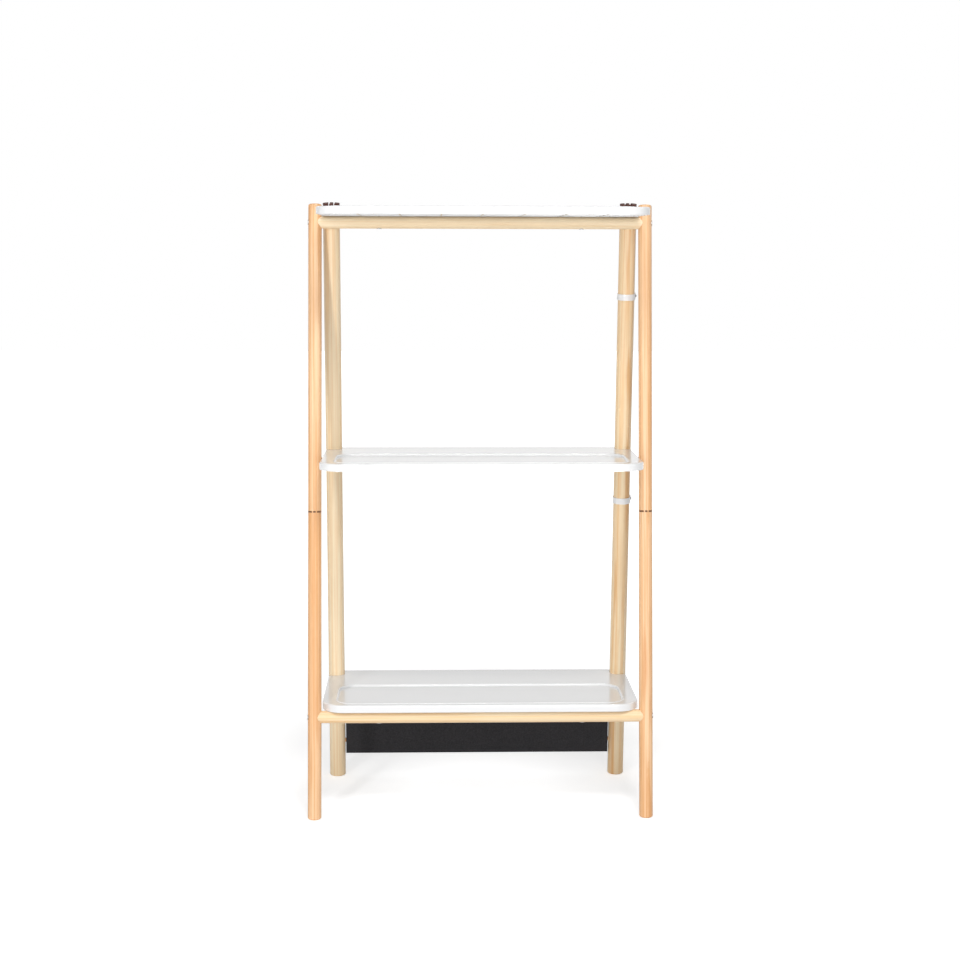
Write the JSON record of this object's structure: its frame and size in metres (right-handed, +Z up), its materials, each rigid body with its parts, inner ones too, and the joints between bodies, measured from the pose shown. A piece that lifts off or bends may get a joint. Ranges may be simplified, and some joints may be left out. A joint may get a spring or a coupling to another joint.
{
  "type": "plant stand",
  "caption": "A-frame plant stand: round wooden legs lean together at the top and carry shallow glossy trays with sunk panels, stepped forward one above another",
  "frame": {"origin": "on the floor, under the middle of the stand's bounding box", "axes": "+X to the stand's right as seen from the front, -Y the front, where the trays step forward, +Z up"},
  "size_m": [0.6122, 0.3748, 1.0857],
  "materials": {
    "pine": "warm clear-lacquered pine dowel",
    "pale_pine": "pale clear-lacquered pine dowel",
    "gloss_white": "smooth glossy white",
    "dark_brown": "moulded, satin dark brown",
    "zinc_steel": "zinc-plated",
    "black_board": "black stained, finely textured"
  },
  "bodies": {
    "stand": {"front_leg_lower_left": "pine", "front_leg_lower_right": "pine", "front_leg_upper_left": "pine", "front_leg_upper_right": "pine", "coupling_ring_left": "dark_brown", "coupling_ring_right": "dark_brown", "coupling_stud_left": "zinc_steel", "coupling_stud_right": "zinc_steel", "rear_leg_left": "pale_pine", "rear_leg_right": "pale_pine", "leg_crown_left": "dark_brown", "leg_crown_right": "dark_brown", "crossbar_top": "pale_pine", "crossbar_bottom": "pale_pine", "tray_top": "gloss_white", "tray_middle": "gloss_white", "tray_bottom": "gloss_white", "crossbar_bolts_left": "zinc_steel", "crossbar_bolts_right": "zinc_steel", "tray_top_leg_screws": "zinc_steel", "tray_middle_leg_screws": "zinc_steel", "tray_bottom_leg_screws": "zinc_steel", "tray_middle_pins": "zinc_steel", "tray_top_bar_screws": "zinc_steel", "tray_bottom_bar_screws": "zinc_steel", "apex_screws": "zinc_steel", "back_board": "black_board", "back_board_dowels": "pine"},
    "clip_upper": {"clip_ring_upper": "gloss_white", "clip_screw_upper": "zinc_steel"},
    "clip_lower": {"clip_ring_lower": "gloss_white", "clip_screw_lower": "zinc_steel"}
  },
  "joints": [
    {"name": "clip_upper_slide", "type": "slide", "parent": "stand", "child": "clip_upper", "axis": [0, -0.1175, 0.9931], "range_m": [-0.27, 0.115]},
    {"name": "clip_lower_slide", "type": "slide", "parent": "stand", "child": "clip_lower", "axis": [0, -0.1175, 0.9931], "range_m": [-0.33, 0.07]}
  ]
}
